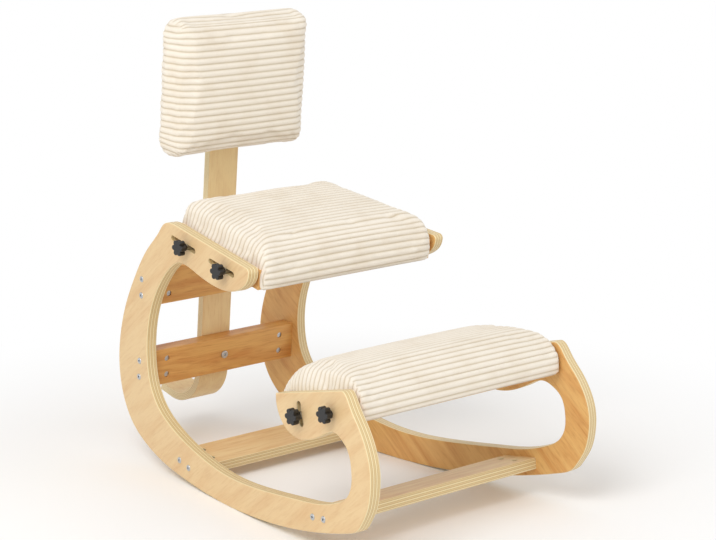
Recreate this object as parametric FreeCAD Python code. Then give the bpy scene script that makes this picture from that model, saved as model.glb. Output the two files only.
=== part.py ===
import FreeCAD, Part
import math
import os

from FreeCAD import Matrix, Vector

# A rocking kneeling chair. Units are millimetres.
# +Z is up, the sitter faces -Y, and X is the chair's width.
# The origin is the point midway between the two runners, where they touch the floor.

# Side frames: flat plywood, standing upright and closer together at the rear
PLY_THICKNESS = 21.0
SPLAY_DEG = 5.73
HALF_WIDTH_AT_ORIGIN = 207.0
ROCKER_RADIUS = 1200.0
RUNNER_FRONT_Y = -363.0
RUNNER_REAR_Y = 187.0
FRAME_EDGE_ROUND = 2.5

# Upper arm of each frame, which carries the seat
ARM_NOSE_Y = -80.0
ARM_NOSE_Z = 422.0
ARM_SLOPE_DEG = 8.2
ARM_TOP_LENGTH = 232.0
ARM_END_SLOPE_DEG = 19.0
ARM_NOSE_ROUND_REACH = 10.0

# Lower arm of each frame, which carries the kneeler
KNEE_ARM_REAR_Y = -156.0
KNEE_ARM_REAR_Z = 234.0
KNEE_ARM_SLOPE_DEG = 14.2
KNEE_ARM_TOP_LENGTH = 190.0

# Outlines of the frame, as (y, z), between the arcs and lines given above
REAR_OUTLINE = [
    (224.6, 22.5), (275.9, 40.0), (313.3, 61.0), (340.0, 89.0), (358.0, 127.0), (364.6, 175.0),
    (357.5, 224.0), (337.8, 277.7), (298.1, 343.0), (253.0, 398.0), (212.0, 435.0),
]
INNER_OUTLINE = [
    (-73.0, 402.0), (-50.8, 384.0), (-22.7, 374.5), (27.4, 373.0), (75.3, 381.0), (120.8, 391.5),
    (145.0, 392.5), (167.0, 383.0), (203.6, 352.0), (239.8, 302.0), (260.5, 240.0), (262.5, 195.0),
    (251.0, 148.0), (224.0, 115.0), (185.0, 93.0), (141.8, 77.5), (84.6, 63.5), (20.4, 54.0),
    (-43.8, 52.5), (-105.6, 57.0), (-165.1, 64.0), (-224.6, 72.0), (-281.8, 81.5), (-331.0, 98.0),
    (-354.0, 112.0), (-366.5, 133.0), (-367.5, 160.0), (-358.5, 188.0), (-341.0, 202.5),
    (-321.0, 209.0), (-290.0, 197.0), (-257.3, 181.0), (-225.0, 173.5), (-194.3, 177.0),
    (-172.0, 191.0), (-158.5, 212.0),
]
FRONT_OUTLINE = [
    (-363.4, 262.5), (-388.0, 233.0), (-407.0, 204.0), (-418.0, 172.0), (-418.5, 138.0),
    (-410.0, 104.0), (-395.0, 79.0),
]

# Cross members, bolted between the side frames
RAIL_HEIGHT = 66.0
RAIL_THICKNESS = 28.0
MIDDLE_RAIL_Y = 291.0
MIDDLE_RAIL_Z = 173.0
RAIL_SPACING = 152.0
RAIL_BOLT_SPACING = 30.0
SLAT_THICKNESS = 20.0
REAR_SLAT_Y = 140.0
REAR_SLAT_Z = 36.0
REAR_SLAT_WIDTH = 70.0
REAR_SLAT_TILT_DEG = 11.5
FRONT_SLAT_Y = -276.0
FRONT_SLAT_Z = 57.0
FRONT_SLAT_WIDTH = 68.0
FRONT_SLAT_TILT_DEG = -8.5
SLAT_BOLT_SPACING = 31.0
MEMBER_EDGE_ROUND = 2.0

# Frame bolts and their cross dowels
BOLT_DIAMETER = 6.0
BOLT_HEAD_DIAMETER = 11.0
BOLT_HEAD_DEPTH = 4.0
BOLT_HEAD_PROUD = 1.0
BOLT_HEAD_ROUND = 1.0
BOLT_SOCKET_WIDTH = 4.0
BOLT_SOCKET_DEPTH = 2.5
DOWEL_DIAMETER = 10.0
DOWEL_END_DISTANCE = 29.0
DOWEL_RECESS = 2.0
DOWEL_BLIND = 4.0
DOWEL_SLOT_WIDTH = 1.2
BOLT_BEYOND_DOWEL = 8.0

# Backrest post: one bent strip, with a hook at its foot that turns to the rear
POST_WIDTH = 63.0
POST_THICKNESS = 14.0
POST_LEAN_DEG = 5.5
POST_TOP_Z = 752.0
HOOK_OUTER_RADIUS = 75.0
HOOK_BOTTOM_Z = 69.0
HOOK_RISE_DEG = 13.0
HOOK_TAIL = 34.0
POST_BOLT_HEAD_DIAMETER = 14.0
POST_BOLT_HEAD_DEPTH = 3.0
POST_NUT_ACROSS = 10.0
POST_NUT_DEPTH = 5.0
POST_BOLT_PAST_NUT = 2.0

# Backrest
BACK_CENTRE_Z = 677.0
BACK_WIDTH = 292.0
BACK_HEIGHT = 242.0
BACK_THICKNESS = 52.0
BACK_CROWN = 4.0
BACK_CORNER_RADIUS = 26.0
BACK_SHOULDER = 15.0
BACK_EDGE_REACH = 18.0
BACK_EDGE_DROP = 20.0
BACK_EDGE_BULGE = 7.0
BACK_BOARD_INSET = 12.0
BACK_BOLT_SPACING_X = 34.0
BACK_BOLT_SPACING_Z = 90.0
BACK_BOLT_LOWEST = -84.0

# Seat, in its own sloping frame: s runs to the rear from the front edge, h is up from the underside
SEAT_FRONT_Y = -78.0
SEAT_FRONT_Z = 380.0
SEAT_LENGTH = 275.0
SEAT_THICKNESS = 76.0
SEAT_CROWN = 4.0
SEAT_CORNER_RADIUS = 13.0
SEAT_SHOULDER = 20.0
SEAT_FRONT_REACH = 46.0
SEAT_FRONT_DROP = 32.0
SEAT_FRONT_BULGE = 12.0
SEAT_REAR_REACH = 20.0
SEAT_REAR_DROP = 20.0
SEAT_REAR_BULGE = 6.0
SEAT_SIDE_GAP = 5.4
SEAT_BATTEN_GAP = 5.0
SEAT_BATTEN_THICKNESS = 10.0
SEAT_BATTEN_HEIGHT = 34.0
SEAT_BATTEN_LENGTH = 252.0
SEAT_BATTEN_LIFT = 0.5
SLOT_BELOW_ARM_TOP = 25.0
SLOT_LENGTH = 81.0
SLOT_WIDTH = 10.0
SLOT_PITCH = 124.0
SLOT_FROM_NOSE = 44.0
STUD_FROM_SLOT_FRONT = 29.0

# Kneeler, in its own sloping frame in the same way
KNEELER_FRONT_Y = -365.0
KNEELER_FRONT_Z = 230.0
KNEELER_TILT_DEG = 5.0
KNEELER_LENGTH = 230.0
KNEELER_THICKNESS = 72.5
KNEELER_CROWN = 2.0
KNEELER_CORNER_RADIUS = 8.0
KNEELER_SHOULDER = 10.0
KNEELER_FRONT_REACH = 42.0
KNEELER_FRONT_DROP = 32.0
KNEELER_FRONT_BULGE = 6.0
KNEELER_REAR_REACH = 90.0
KNEELER_REAR_DROP = 54.0
KNEELER_REAR_BULGE = 13.0
KNEELER_SIDE_GAP = 3.0
PIVOT_Y = -314.4
PIVOT_Z = 239.2
KNEELER_STUD_RADIUS = 92.0
KNEELER_STUD_DEG = -15.5
KNEELER_SLOT_LOW_DEG = -27.5
KNEELER_SLOT_HIGH_DEG = -1.4
KNEELER_SLOT_WIDTH = 12.0
BRACKET_GAP = 1.5
BRACKET_THICKNESS = 18.0
BRACKET_HEIGHT = 38.0
BRACKET_BEYOND_STUD = 24.0
BRACKET_END_ROUND = 11.4

# Cushions and the boards inside them
BOARD_THICKNESS = 12.0
BOARD_EDGE_COVER = 8.0
BOARD_SIDE_CLEARANCE = 0.25
UNDER_EDGE_ROUND = 6.0
FACE_BULGE = 2.5
SIDE_DRAW_IN = 2.0

# Star knobs and their threaded studs
KNOB_DIAMETER = 28.0
KNOB_LOBES = 6
KNOB_LOBE_DIAMETER = 9.0
KNOB_CORE_DIAMETER = 20.0
KNOB_HEAD_DEPTH = 12.0
KNOB_NECK_DIAMETER = 12.0
KNOB_NECK_LENGTH = 6.0
KNOB_EDGE_ROUND = 1.5
SEAT_KNOB_STANDOFF = 2.8
KNEELER_KNOB_STANDOFF = 2.2
STUD_DIAMETER = 8.0
STUD_IN_KNOB = 10.0
STUD_CHAMFER = 0.8
INSERT_DIAMETER = 12.0
INSERT_SUNK = 1.0
SCREW_DIAMETER = 4.0
SCREW_HEAD_DIAMETER = 8.0
SCREW_HEAD_DEPTH = 3.0
SCREW_LENGTH = 32.0
SCREW_SLOT = 1.0
SCREW_SUNK = 0.5
SEAT_SCREW_SHARES = (0.12, 0.5, 0.88)
BRACKET_SCREW_SHARES = (0.33, 0.47)

# Helpers: how far a cutter runs past the piece, a length that counts as nothing, and a share for a safe round
BEYOND = 60.0
SMALL = 0.01
LARGEST_ROUND_SHARE = 0.45

# Clearances
HOLE_CLEARANCE = 0.25
THREAD_CLEARANCE = 0.05
RUNNING_CLEARANCE = 0.08
FABRIC_CLEARANCE = 0.3

# Values worked out from the sizes above
SPLAY = math.radians(SPLAY_DEG)
SPLAY_TAN = math.tan(SPLAY)
PLY_ACROSS_X = PLY_THICKNESS / math.cos(SPLAY)
ARM_SLOPE = math.radians(ARM_SLOPE_DEG)
KNEE_ARM_SLOPE = math.radians(KNEE_ARM_SLOPE_DEG)
ARM_END_SLOPE = math.radians(ARM_END_SLOPE_DEG)
POST_LEAN = math.radians(POST_LEAN_DEG)
POST_LEAN_TAN = math.tan(POST_LEAN)
KNEELER_TILT = math.radians(KNEELER_TILT_DEG)
RAIL_CENTRES = [
    (MIDDLE_RAIL_Y - RAIL_SPACING * math.sin(POST_LEAN), MIDDLE_RAIL_Z + RAIL_SPACING * math.cos(POST_LEAN)),
    (MIDDLE_RAIL_Y, MIDDLE_RAIL_Z),
]


def outer_x(y):
    """Half the width over the side frames' outer faces, at depth y."""
    return HALF_WIDTH_AT_ORIGIN - y * SPLAY_TAN


def inner_x(y):
    """Half the width between the side frames' inner faces, at depth y."""
    return outer_x(y) - PLY_ACROSS_X


def export(shape, name):
    """Writes one sub-part as a STEP file, after a check that its solids are sound."""
    if not shape.isValid():
        raise ValueError(name + " is not a valid shape")
    shape.exportStep(os.path.join("parts", name + ".step"))
    print("%-28s solids %2d volume %.0f" % (name, len(shape.Solids), shape.Volume))


def mirrored(shape):
    """The same shape on the other side of the chair."""
    return shape.mirror(Vector(0, 0, 0), Vector(1, 0, 0))


def both_sides(shape):
    """A group of the shape and its mirror image."""
    return Part.makeCompound(shape.Solids + mirrored(shape).Solids)


def frame_at(y, z, tilt):
    """A matrix from local (x, s, h) to the chair, with s tilted up towards the rear by tilt radians."""
    c = math.cos(tilt)
    s = math.sin(tilt)
    return Matrix(1, 0, 0, 0,
                  0, c, -s, y,
                  0, s, c, z,
                  0, 0, 0, 1)


def rod_x(y, z, x_low, x_high, diameter):
    """A round bar along X."""
    return Part.makeCylinder(diameter / 2.0, x_high - x_low, Vector(x_low, y, z), Vector(1, 0, 0))


def slab_between_frames(shape):
    """Cuts a cross member to length with its ends against the side frames' inner faces."""
    box = shape.BoundBox
    space = tapered_plate(inner_x, box.YMin - BEYOND, box.YMax + BEYOND, box.ZMin - BEYOND, box.ZMax + BEYOND)
    return shape.common(space)


def tapered_plate(half_width, start, end, low, high):
    """A flat plate centred on X, whose half width is a function of the distance along it."""
    corners = [Vector(-half_width(start), start, low), Vector(half_width(start), start, low),
               Vector(half_width(end), end, low), Vector(-half_width(end), end, low)]
    return Part.Face(Part.makePolygon(corners + [corners[0]])).extrude(Vector(0, 0, high - low))


def plate_point(y, z):
    """A point of the frame's outline in the plate's own plane, which is turned by the splay afterwards."""
    return Vector(0, y / math.cos(SPLAY), z)


def spline(points, start_direction, end_direction):
    """A smooth curve through points, with its two end directions."""
    curve = Part.BSplineCurve()
    curve.interpolate(Points=[plate_point(y, z) for y, z in points], InitialTangent=start_direction,
                      FinalTangent=end_direction)
    return curve.toShape()


def free_spline(points):
    """A smooth curve through points, whose ends take their own direction."""
    curve = Part.BSplineCurve()
    curve.interpolate(Points=[plate_point(y, z) for y, z in points])
    return curve.toShape()


def runner_z(y):
    """Height of the runner's underside at depth y."""
    return ROCKER_RADIUS - math.sqrt(ROCKER_RADIUS ** 2 - y ** 2)


def runner_direction(y):
    """Direction of the runner's underside towards the rear at depth y."""
    turn = math.asin(y / ROCKER_RADIUS)
    return Vector(0, math.cos(turn), math.sin(turn))


def rounded_corner(corner, first, second, reach):
    """Three points of an arc that rounds a corner between two directions, at a distance reach along each."""
    half = first.getAngle(second) / 2.0
    middle = (first + second).normalize() * (reach / math.cos(half) - reach * math.tan(half))
    return [(corner[0] + step.y, corner[1] + step.z) for step in (first * reach, middle, second * reach)]


def frame_outline():
    """The side frame's outline in the plate's plane, as a closed wire."""
    runner_front = (RUNNER_FRONT_Y, runner_z(RUNNER_FRONT_Y))
    runner_rear = (RUNNER_REAR_Y, runner_z(RUNNER_REAR_Y))
    nose = (ARM_NOSE_Y, ARM_NOSE_Z)
    arm_direction = Vector(0, math.cos(ARM_SLOPE), math.sin(ARM_SLOPE))
    arm_rear = (nose[0] + ARM_TOP_LENGTH * arm_direction.y, nose[1] + ARM_TOP_LENGTH * arm_direction.z)
    knee_rear = (KNEE_ARM_REAR_Y, KNEE_ARM_REAR_Z)
    knee_direction = Vector(0, -math.cos(KNEE_ARM_SLOPE), math.sin(KNEE_ARM_SLOPE))
    knee_front = (knee_rear[0] + KNEE_ARM_TOP_LENGTH * knee_direction.y,
                  knee_rear[1] + KNEE_ARM_TOP_LENGTH * knee_direction.z)
    runner = Part.Arc(plate_point(*runner_front), plate_point(0, 0), plate_point(*runner_rear)).toShape()
    rear = spline([runner_rear] + REAR_OUTLINE + [arm_rear], runner_direction(RUNNER_REAR_Y),
                  arm_direction.negative())
    end_direction = Vector(0, math.sin(ARM_END_SLOPE), -math.cos(ARM_END_SLOPE))
    corner = rounded_corner(nose, arm_direction, end_direction, ARM_NOSE_ROUND_REACH)
    arm = Part.LineSegment(plate_point(*arm_rear), plate_point(*corner[0])).toShape()
    arm_end = Part.Arc(*[plate_point(y, z) for y, z in corner]).toShape()
    inner = free_spline([corner[2]] + INNER_OUTLINE + [knee_rear])
    knee = Part.LineSegment(plate_point(*knee_rear), plate_point(*knee_front)).toShape()
    front = spline([knee_front] + FRONT_OUTLINE + [runner_front], knee_direction,
                   runner_direction(RUNNER_FRONT_Y))
    return Part.Wire([runner, rear, arm, arm_end, inner, knee, front])


def seat_slide_point(along):
    """A point on the line of the seat slots, at a distance along it from the nose."""
    drop = SLOT_BELOW_ARM_TOP
    return (ARM_NOSE_Y + along * math.cos(ARM_SLOPE) + drop * math.sin(ARM_SLOPE),
            ARM_NOSE_Z + along * math.sin(ARM_SLOPE) - drop * math.cos(ARM_SLOPE))


SEAT_SLOT_STARTS = [SLOT_FROM_NOSE, SLOT_FROM_NOSE + SLOT_PITCH]
SEAT_STUDS = [seat_slide_point(start + STUD_FROM_SLOT_FRONT) for start in SEAT_SLOT_STARTS]


def pivot_point(radius, degrees):
    """A point at a radius and angle about the kneeler's pivot."""
    turn = math.radians(degrees)
    return (PIVOT_Y + radius * math.cos(turn), PIVOT_Z + radius * math.sin(turn))


KNEELER_STUDS = [(PIVOT_Y, PIVOT_Z), pivot_point(KNEELER_STUD_RADIUS, KNEELER_STUD_DEG)]


def seat_slot(start):
    """The cutter for one seat slot, square to X, with round ends."""
    reach = SLOT_LENGTH - SLOT_WIDTH
    first = seat_slide_point(start + SLOT_WIDTH / 2.0)
    last = seat_slide_point(start + SLOT_WIDTH / 2.0 + reach)
    x_low = inner_x(0) - BEYOND
    x_high = outer_x(RUNNER_FRONT_Y) + BEYOND
    bar = Part.makeBox(x_high - x_low, reach, SLOT_WIDTH, Vector(x_low, 0, -SLOT_WIDTH / 2.0))
    bar = bar.transformed(frame_at(first[0], first[1], ARM_SLOPE))
    ends = [rod_x(y, z, x_low, x_high, SLOT_WIDTH) for y, z in (first, last)]
    return bar.fuse(ends).removeSplitter()


def kneeler_slot():
    """The cutter for the kneeler's arc slot about its pivot, with round ends."""
    end_turn = math.degrees(KNEELER_SLOT_WIDTH / 2.0 / KNEELER_STUD_RADIUS)
    low = KNEELER_SLOT_LOW_DEG + end_turn
    high = KNEELER_SLOT_HIGH_DEG - end_turn
    middle = (low + high) / 2.0
    inner = KNEELER_STUD_RADIUS - KNEELER_SLOT_WIDTH / 2.0
    outer = KNEELER_STUD_RADIUS + KNEELER_SLOT_WIDTH / 2.0
    places = [(outer, low), (outer, middle), (outer, high), (KNEELER_STUD_RADIUS, KNEELER_SLOT_HIGH_DEG),
              (inner, high), (inner, middle), (inner, low), (KNEELER_STUD_RADIUS, KNEELER_SLOT_LOW_DEG)]
    points = [Vector(0, *pivot_point(radius, turn)) for radius, turn in places]
    points.append(points[0])
    edges = [Part.Arc(*points[index:index + 3]).toShape() for index in (0, 2, 4, 6)]
    x_low = inner_x(0) - BEYOND
    face = Part.Face(Part.Wire(edges)).translated(Vector(x_low, 0, 0))
    return face.extrude(Vector(outer_x(RUNNER_FRONT_Y) + BEYOND - x_low, 0, 0))


def member_bolts(member):
    """The (y, z) of the two bolts at each end of a cross member, which lie along its width."""
    name, (y, z), tilt, width, thickness, spacing = member
    half = spacing / 2.0
    return [(y + half * math.cos(tilt), z + half * math.sin(tilt)),
            (y - half * math.cos(tilt), z - half * math.sin(tilt))]


def side_frame():
    """The right-hand side frame, with its slots, bolt holes and head recesses."""
    face = Part.Face(frame_outline()).translated(Vector(-PLY_THICKNESS / 2.0, 0, 0))
    plate = face.extrude(Vector(PLY_THICKNESS, 0, 0))
    rims = [edge for edge in plate.Edges if edge.BoundBox.XLength < SMALL]
    plate = plate.makeFillet(min(FRAME_EDGE_ROUND, PLY_THICKNESS * LARGEST_ROUND_SHARE), rims)
    plate = plate.rotated(Vector(0, 0, 0), Vector(0, 0, 1), SPLAY_DEG)
    plate = plate.translated(Vector((inner_x(0) + outer_x(0)) / 2.0, 0, 0))
    reach = outer_x(RUNNER_FRONT_Y) + BEYOND
    cutters = [seat_slot(start) for start in SEAT_SLOT_STARTS]
    cutters += [kneeler_slot(), rod_x(PIVOT_Y, PIVOT_Z, 0, reach, STUD_DIAMETER + 2 * RUNNING_CLEARANCE)]
    for member in MEMBERS:
        for y, z in member_bolts(member):
            cutters.append(rod_x(y, z, 0, reach, BOLT_DIAMETER + 2 * HOLE_CLEARANCE))
            cutters.append(rod_x(y, z, bolt_head_seat(y), reach, BOLT_HEAD_DIAMETER + 2 * HOLE_CLEARANCE))
    return plate.cut(cutters)


def bolt_head_seat(y):
    """Where the underside of a frame bolt's head lies in X."""
    return outer_x(y) + BOLT_HEAD_PROUD - BOLT_HEAD_DEPTH


def plank(width, thickness):
    """A cross member before it is cut to length, centred on the origin, with eased long edges."""
    length = 2 * outer_x(RUNNER_FRONT_Y)
    box = Part.makeBox(length, width, thickness, Vector(-length / 2.0, -width / 2.0, -thickness / 2.0))
    long_edges = [edge for edge in box.Edges if edge.BoundBox.XLength > length / 2.0]
    return box.makeFillet(MEMBER_EDGE_ROUND, long_edges)


def cross_member(member):
    """A board between the frames, with holes for its bolts and cross dowels."""
    name, (y, z), tilt, width, thickness, spacing = member
    board = slab_between_frames(plank(width, thickness).transformed(frame_at(y, z, tilt)))
    cutters = []
    for bolt_y, bolt_z in member_bolts(member):
        tip = bolt_tip(bolt_y) - HOLE_CLEARANCE
        cutters.append(rod_x(bolt_y, bolt_z, tip, outer_x(bolt_y), BOLT_DIAMETER + 2 * HOLE_CLEARANCE))
        hole = dowel_blank(bolt_y, thickness, DOWEL_DIAMETER + 2 * HOLE_CLEARANCE, thickness)
        cutters.append(hole.transformed(frame_at(bolt_y, bolt_z, tilt)))
    cutters += [mirrored(cutter) for cutter in cutters]
    if name in POST_RAILS:
        hole = Part.makeCylinder(BOLT_DIAMETER / 2.0 + HOLE_CLEARANCE, 2 * BEYOND, Vector(0, 0, -BEYOND))
        cutters.append(hole.transformed(frame_at(y, z, tilt)))
    return board.cut(cutters)


def bolt_tip(y):
    """Where a frame bolt ends in X."""
    return inner_x(y) - DOWEL_END_DISTANCE - BOLT_BEYOND_DOWEL


def dowel_blank(y, thickness, diameter, length):
    """A round bar square to a member's wide face, in the member's frame, that starts above its blind side."""
    x = inner_x(y) - DOWEL_END_DISTANCE
    return Part.makeCylinder(diameter / 2.0, length, Vector(x, 0, DOWEL_BLIND - thickness / 2.0), Vector(0, 0, 1))


def cross_dowel(y, z, tilt, thickness):
    """A cross dowel with a screwdriver slot and a threaded cross hole, seated in its blind hole."""
    body = dowel_blank(y, thickness, DOWEL_DIAMETER, thickness - DOWEL_BLIND - DOWEL_RECESS)
    x = inner_x(y) - DOWEL_END_DISTANCE
    slot = Part.makeBox(DOWEL_DIAMETER, DOWEL_SLOT_WIDTH, DOWEL_SLOT_WIDTH,
                        Vector(x - DOWEL_DIAMETER / 2.0, -DOWEL_SLOT_WIDTH / 2.0,
                               thickness / 2.0 - DOWEL_RECESS - DOWEL_SLOT_WIDTH))
    body = body.cut(slot).transformed(frame_at(y, z, tilt))
    thread = rod_x(y, z, x - DOWEL_DIAMETER, x + DOWEL_DIAMETER, BOLT_DIAMETER + 2 * THREAD_CLEARANCE)
    return body.cut(thread)


def hexagon(across, centre, first, second):
    """A closed hexagon as a face: across is its width over flats, and first and second span its plane."""
    corners = []
    for index in range(7):
        turn = math.radians(60 * index)
        corners.append(centre + (first * math.cos(turn) + second * math.sin(turn)) * (across / math.sqrt(3)))
    return Part.Face(Part.makePolygon(corners))


def frame_bolt(y, z):
    """One bolt on the right-hand side: a round head with a hexagon socket, and a plain shank."""
    seat = bolt_head_seat(y)
    face = seat + BOLT_HEAD_DEPTH
    head = rod_x(y, z, seat, face, BOLT_HEAD_DIAMETER)
    head = head.makeFillet(BOLT_HEAD_ROUND, [edge for edge in head.Edges if edge.CenterOfMass.x > face - SMALL])
    shank = rod_x(y, z, bolt_tip(y), seat, BOLT_DIAMETER)
    socket = hexagon(BOLT_SOCKET_WIDTH, Vector(face - BOLT_SOCKET_DEPTH, y, z), Vector(0, 1, 0), Vector(0, 0, 1))
    return head.fuse(shank).removeSplitter().cut(socket.extrude(Vector(BOLT_HEAD_DEPTH, 0, 0)))


RAIL_TILT = math.pi / 2 + POST_LEAN
MEMBERS = [
    ("upper_rear_rail", RAIL_CENTRES[0], RAIL_TILT, RAIL_HEIGHT, RAIL_THICKNESS, RAIL_BOLT_SPACING),
    ("middle_rear_rail", RAIL_CENTRES[1], RAIL_TILT, RAIL_HEIGHT, RAIL_THICKNESS, RAIL_BOLT_SPACING),
    ("rear_bottom_slat", (REAR_SLAT_Y, REAR_SLAT_Z), math.radians(REAR_SLAT_TILT_DEG),
     REAR_SLAT_WIDTH, SLAT_THICKNESS, SLAT_BOLT_SPACING),
    ("front_bottom_slat", (FRONT_SLAT_Y, FRONT_SLAT_Z), math.radians(FRONT_SLAT_TILT_DEG),
     FRONT_SLAT_WIDTH, SLAT_THICKNESS, SLAT_BOLT_SPACING),
]
POST_RAILS = ("upper_rear_rail", "middle_rear_rail")


def post_plane_y(z):
    """Depth of the post's front face at height z: it lies on the rails' rear faces."""
    rail_rear = MIDDLE_RAIL_Y + RAIL_THICKNESS / 2.0 / math.cos(POST_LEAN)
    return rail_rear - (z - MIDDLE_RAIL_Z) * POST_LEAN_TAN


def post_frame(z):
    """A matrix from local (x, up, forward) to the chair, on the post's front face at height z."""
    return frame_at(post_plane_y(z), z, math.pi / 2 + POST_LEAN)


def post_profile():
    """The post's side view in the plane X = 0: straight, then the hook's arc and its tail."""
    outer = HOOK_OUTER_RADIUS
    inner = outer - POST_THICKNESS
    centre_z = HOOK_BOTTOM_Z + outer
    start_turn = math.pi + POST_LEAN
    start_z = centre_z + outer * math.sin(start_turn)
    centre_y = post_plane_y(start_z) - outer * math.cos(start_turn)
    end_turn = 1.5 * math.pi + math.radians(HOOK_RISE_DEG)
    middle_turn = (start_turn + end_turn) / 2.0

    def on_arc(radius, turn):
        return Vector(0, centre_y + radius * math.cos(turn), centre_z + radius * math.sin(turn))

    tail = Vector(0, math.cos(math.radians(HOOK_RISE_DEG)), math.sin(math.radians(HOOK_RISE_DEG))) * HOOK_TAIL
    across = Vector(0, math.cos(POST_LEAN), math.sin(POST_LEAN)) * POST_THICKNESS
    top_front = Vector(0, post_plane_y(POST_TOP_Z), POST_TOP_Z)
    top_rear = top_front + across
    outer_points = [on_arc(outer, turn) for turn in (start_turn, middle_turn, end_turn)]
    inner_points = [on_arc(inner, turn) for turn in (start_turn, middle_turn, end_turn)]
    edges = [
        Part.LineSegment(top_front, outer_points[0]).toShape(),
        Part.Arc(*outer_points).toShape(),
        Part.LineSegment(outer_points[2], outer_points[2] + tail).toShape(),
        Part.LineSegment(outer_points[2] + tail, inner_points[2] + tail).toShape(),
        Part.LineSegment(inner_points[2] + tail, inner_points[2]).toShape(),
        Part.Arc(*inner_points[::-1]).toShape(),
        Part.LineSegment(inner_points[0], top_rear).toShape(),
        Part.LineSegment(top_rear, top_front).toShape(),
    ]
    return Part.Wire(edges)


def post_bolt_axes():
    """Matrices at the centre of each rail, with local z pointing to the chair's front."""
    return [frame_at(y, z, RAIL_TILT) for y, z in RAIL_CENTRES]


def back_bolt_places():
    """The backrest's bolts in the post's local frame about the backrest's centre: (x, up)."""
    return [(side * BACK_BOLT_SPACING_X / 2.0, BACK_BOLT_LOWEST + step * BACK_BOLT_SPACING_Z)
            for side in (-1, 1) for step in (0, 1)]


def backrest_post():
    """The bent post with its bolt holes."""
    face = Part.Face(post_profile()).translated(Vector(-POST_WIDTH / 2.0, 0, 0))
    post = face.extrude(Vector(POST_WIDTH, 0, 0))
    hole = BOLT_DIAMETER / 2.0 + HOLE_CLEARANCE
    cutters = []
    for matrix in post_bolt_axes():
        cutters.append(Part.makeCylinder(hole, 2 * BEYOND, Vector(0, 0, -BEYOND)).transformed(matrix))
    for x, up in back_bolt_places():
        cutters.append(Part.makeCylinder(hole, BEYOND, Vector(x, up, -BEYOND / 2.0)).transformed(back_frame()))
    return post.cut(cutters)


def back_frame():
    """Local frame of the backrest: x across, y up the post, z to the chair's front."""
    return post_frame(BACK_CENTRE_Z)


def post_bolts():
    """The two bolts through the rails and the post, heads on the rails' front faces."""
    solids = []
    front = RAIL_THICKNESS / 2.0
    back = -RAIL_THICKNESS / 2.0 - POST_THICKNESS - POST_NUT_DEPTH - POST_BOLT_PAST_NUT
    for matrix in post_bolt_axes():
        face = front + POST_BOLT_HEAD_DEPTH
        head = Part.makeCylinder(POST_BOLT_HEAD_DIAMETER / 2.0, POST_BOLT_HEAD_DEPTH, Vector(0, 0, front))
        head = head.makeFillet(BOLT_HEAD_ROUND, [edge for edge in head.Edges if edge.CenterOfMass.z > face - SMALL])
        shank = Part.makeCylinder(BOLT_DIAMETER / 2.0, front - back, Vector(0, 0, back))
        socket = hexagon(BOLT_SOCKET_WIDTH, Vector(0, 0, face - BOLT_SOCKET_DEPTH), Vector(1, 0, 0), Vector(0, 1, 0))
        bolt = head.fuse(shank).removeSplitter().cut(socket.extrude(Vector(0, 0, POST_BOLT_HEAD_DEPTH)))
        solids.append(bolt.transformed(matrix))
    return Part.makeCompound(solids)


def post_nuts():
    """The hexagon nuts on those bolts, against the post's rear face."""
    solids = []
    back = -RAIL_THICKNESS / 2.0 - POST_THICKNESS
    for matrix in post_bolt_axes():
        nut = hexagon(POST_NUT_ACROSS, Vector(0, 0, back - POST_NUT_DEPTH), Vector(1, 0, 0), Vector(0, 1, 0))
        bore = Part.makeCylinder(BOLT_DIAMETER / 2.0 + THREAD_CLEARANCE, 2 * BEYOND, Vector(0, 0, -BEYOND))
        solids.append(nut.extrude(Vector(0, 0, POST_NUT_DEPTH)).cut(bore).transformed(matrix))
    return Part.makeCompound(solids)


def bulged(start, end, bulge):
    """Three points of an arc in (s, h) that stands out to the left of its chord by bulge."""
    run = end[0] - start[0]
    rise = end[1] - start[1]
    chord = math.hypot(run, rise)
    middle = ((start[0] + end[0]) / 2.0 - bulge * rise / chord, (start[1] + end[1]) / 2.0 + bulge * run / chord)
    return start, middle, end


def pad_profile(length, thickness, front, rear, crown):
    """A pad's end view in (s, h): front and rear are the (reach, drop, bulge) of its rounded upper edges."""
    under = UNDER_EDGE_ROUND
    round_bulge = under * (math.sqrt(0.5) - 0.5)
    knots = [
        (under, 0.0), (0.0, under), (0.0, thickness - front[1]), (front[0], thickness),
        (length - rear[0], thickness), (length, thickness - rear[1]), (length, under), (length - under, 0.0),
    ]
    bulges = [round_bulge, FACE_BULGE, front[2], crown, rear[2], FACE_BULGE, round_bulge]
    edges = [bulged(knots[index], knots[index + 1], bulges[index]) for index in range(len(bulges))]
    return edges + [(knots[-1], knots[0])]


def pad_section(profile, length, across, half_width, stretch_s, stretch_h):
    """The profile as a wire where x is the share across of the pad's half width."""
    edges = []
    for points in profile:
        spots = []
        for s, h in points:
            s_here = length / 2.0 + (s - length / 2.0) * stretch_s
            spots.append(Vector(across * half_width(s_here), s_here, h * stretch_h))
        curve = Part.Arc(*spots) if len(spots) == 3 else Part.LineSegment(*spots)
        edges.append(curve.toShape())
    return Part.Wire(edges)


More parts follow.
